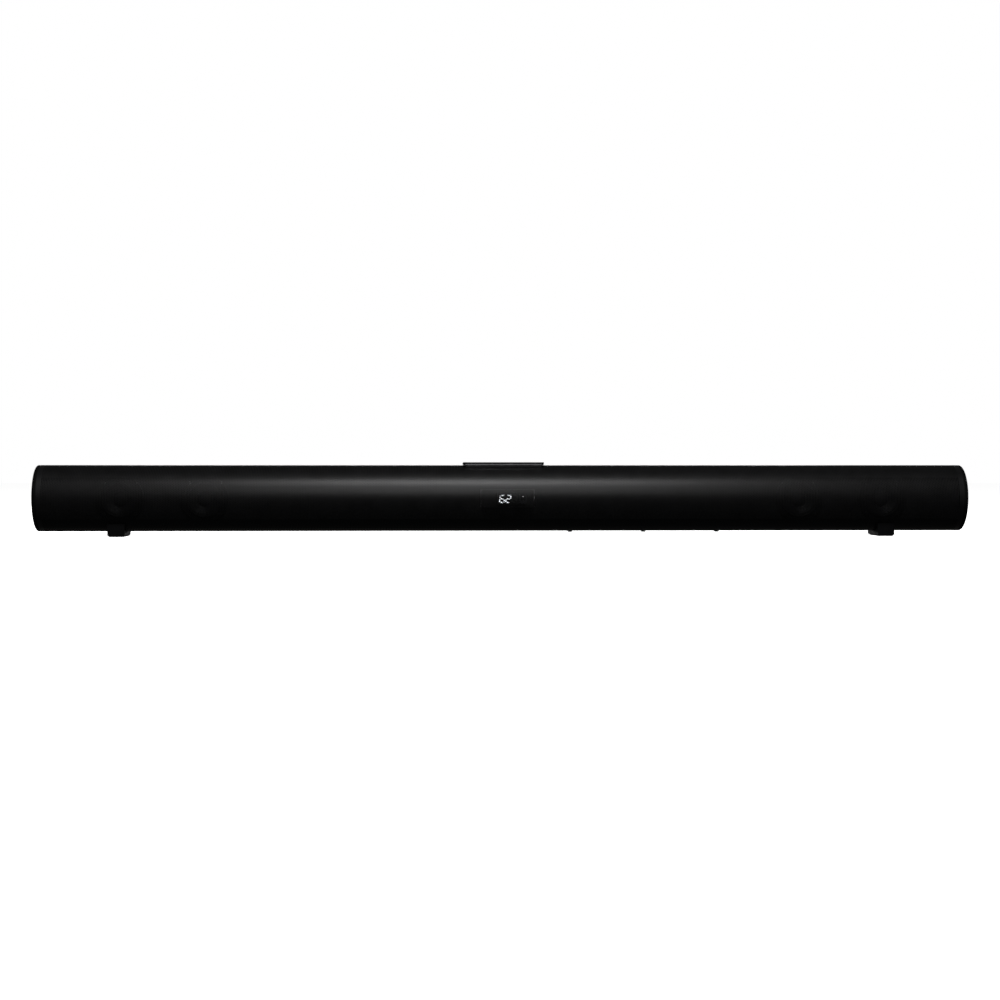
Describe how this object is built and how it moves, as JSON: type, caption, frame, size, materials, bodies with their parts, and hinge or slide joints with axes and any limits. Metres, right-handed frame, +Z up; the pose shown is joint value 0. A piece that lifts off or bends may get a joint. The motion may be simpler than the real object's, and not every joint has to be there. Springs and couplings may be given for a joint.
{
  "type": "soundbar",
  "caption": "Tubular television soundbar with perforated steel wrap, end caps, top control plate, two feet and a recessed rear connector bay.",
  "frame": {"origin": "centre of the footprint on the surface that the feet stand on", "axes": "+X along the bar, to the right of someone facing the front; the front looks along -Y; +Z up"},
  "size_m": [0.94, 0.0604, 0.075],
  "materials": {
    "grille_steel": "satin black powder coat, perforated",
    "cap_plastic": "semi-gloss black",
    "seal_rubber": "matte",
    "rear_plastic": "fine moulded texture",
    "shell_plastic": "moulded",
    "foot_plastic": "fine moulded texture",
    "pad_rubber": "matte",
    "plate_plastic": "satin black",
    "trim_metal": "satin",
    "button_plastic": "satin black",
    "screw_steel": "black zinc",
    "keyhole_steel": "zinc",
    "circuit_board": "green solder mask",
    "component_plastic": "moulded",
    "spreader_aluminium": "plain",
    "basket_steel": "black",
    "magnet_ferrite": "ground ferrite",
    "surround_rubber": "satin",
    "cone_paper": "pulp",
    "spider_cloth": "woven",
    "display_plastic": "filter black",
    "digit_lit": "lit",
    "digit_unlit": "milky",
    "receiver_plastic": "tinted",
    "socket_steel": "nickel plated",
    "socket_plastic": "moulded",
    "shutter_plastic": "moulded",
    "pin_brass": "nickel plated"
  },
  "bodies": {
    "chassis": {"front_grille": "grille_steel", "left_end_cap": "cap_plastic", "right_end_cap": "cap_plastic", "left_cap_seal": "seal_rubber", "right_cap_seal": "seal_rubber", "rear_panel": "rear_plastic", "connector_tray": "rear_plastic", "upper_shell": "shell_plastic", "lower_shell": "shell_plastic", "front_baffle": "shell_plastic", "chamber_bulkheads": "shell_plastic", "left_foot": "foot_plastic", "right_foot": "foot_plastic", "foot_pads": "pad_rubber", "control_panel": "plate_plastic", "control_panel_trim": "trim_metal", "rear_screws": "screw_steel", "front_screws": "screw_steel", "foot_screws": "screw_steel", "heat_spreader_screws": "screw_steel", "wall_keyhole_plates": "keyhole_steel", "control_board": "circuit_board", "main_board": "circuit_board", "power_board": "circuit_board", "tact_switches": "component_plastic", "main_board_components": "component_plastic", "power_board_components": "component_plastic", "heat_spreader": "spreader_aluminium", "driver_1_basket": "basket_steel", "driver_1_magnet": "magnet_ferrite", "driver_1_surround": "surround_rubber", "driver_2_basket": "basket_steel", "driver_2_magnet": "magnet_ferrite", "driver_2_surround": "surround_rubber", "driver_3_basket": "basket_steel", "driver_3_magnet": "magnet_ferrite", "driver_3_surround": "surround_rubber", "driver_4_basket": "basket_steel", "driver_4_magnet": "magnet_ferrite", "driver_4_surround": "surround_rubber", "driver_spiders": "spider_cloth", "display_module": "display_plastic", "display_digits": "digit_lit", "display_digits_unlit": "digit_unlit", "ir_receiver": "receiver_plastic", "hdmi_socket": "socket_steel", "usb_socket": "socket_steel", "optical_socket": "socket_plastic", "aux_jack": "socket_plastic", "mains_inlet": "socket_plastic", "mains_inlet_pins": "pin_brass"},
    "power_button": {"power_button": "button_plastic"},
    "source_button": {"source_button": "button_plastic"},
    "volume_down_button": {"volume_down_button": "button_plastic"},
    "volume_up_button": {"volume_up_button": "button_plastic"},
    "driver_1_diaphragm": {"driver_1_cone": "cone_paper"},
    "driver_2_diaphragm": {"driver_2_cone": "cone_paper"},
    "driver_3_diaphragm": {"driver_3_cone": "cone_paper"},
    "driver_4_diaphragm": {"driver_4_cone": "cone_paper"},
    "optical_shutter": {"optical_shutter": "shutter_plastic"}
  },
  "joints": [
    {"name": "power_press", "type": "slide", "parent": "chassis", "child": "power_button", "axis": [0, 0, -1], "range_m": [0, 0.0008], "stiffness_N_per_m": 1500},
    {"name": "source_press", "type": "slide", "parent": "chassis", "child": "source_button", "axis": [0, 0, -1], "range_m": [0, 0.0008], "stiffness_N_per_m": 1500},
    {"name": "volume_down_press", "type": "slide", "parent": "chassis", "child": "volume_down_button", "axis": [0, 0, -1], "range_m": [0, 0.0008], "stiffness_N_per_m": 1500},
    {"name": "volume_up_press", "type": "slide", "parent": "chassis", "child": "volume_up_button", "axis": [0, 0, -1], "range_m": [0, 0.0008], "stiffness_N_per_m": 1500},
    {"name": "driver_1_excursion", "type": "slide", "parent": "chassis", "child": "driver_1_diaphragm", "axis": [0, -1, 0], "range_m": [-0.002, 0.002], "stiffness_N_per_m": 900, "deforming": ["driver_1_surround", "driver_spiders"]},
    {"name": "driver_2_excursion", "type": "slide", "parent": "chassis", "child": "driver_2_diaphragm", "axis": [0, -1, 0], "range_m": [-0.002, 0.002], "stiffness_N_per_m": 900, "deforming": ["driver_2_surround"]},
    {"name": "driver_3_excursion", "type": "slide", "parent": "chassis", "child": "driver_3_diaphragm", "axis": [0, -1, 0], "range_m": [-0.002, 0.002], "stiffness_N_per_m": 900, "deforming": ["driver_3_surround"]},
    {"name": "driver_4_excursion", "type": "slide", "parent": "chassis", "child": "driver_4_diaphragm", "axis": [0, -1, 0], "range_m": [-0.002, 0.002], "stiffness_N_per_m": 900, "deforming": ["driver_4_surround"]},
    {"name": "optical_shutter_hinge", "type": "hinge", "parent": "chassis", "child": "optical_shutter", "pos_m": [-0.004, 0.01235, 0.0429], "axis": [-1, 0, 0], "range_deg": [0, 75], "stiffness_Nm_per_rad": 0.001}
  ]
}
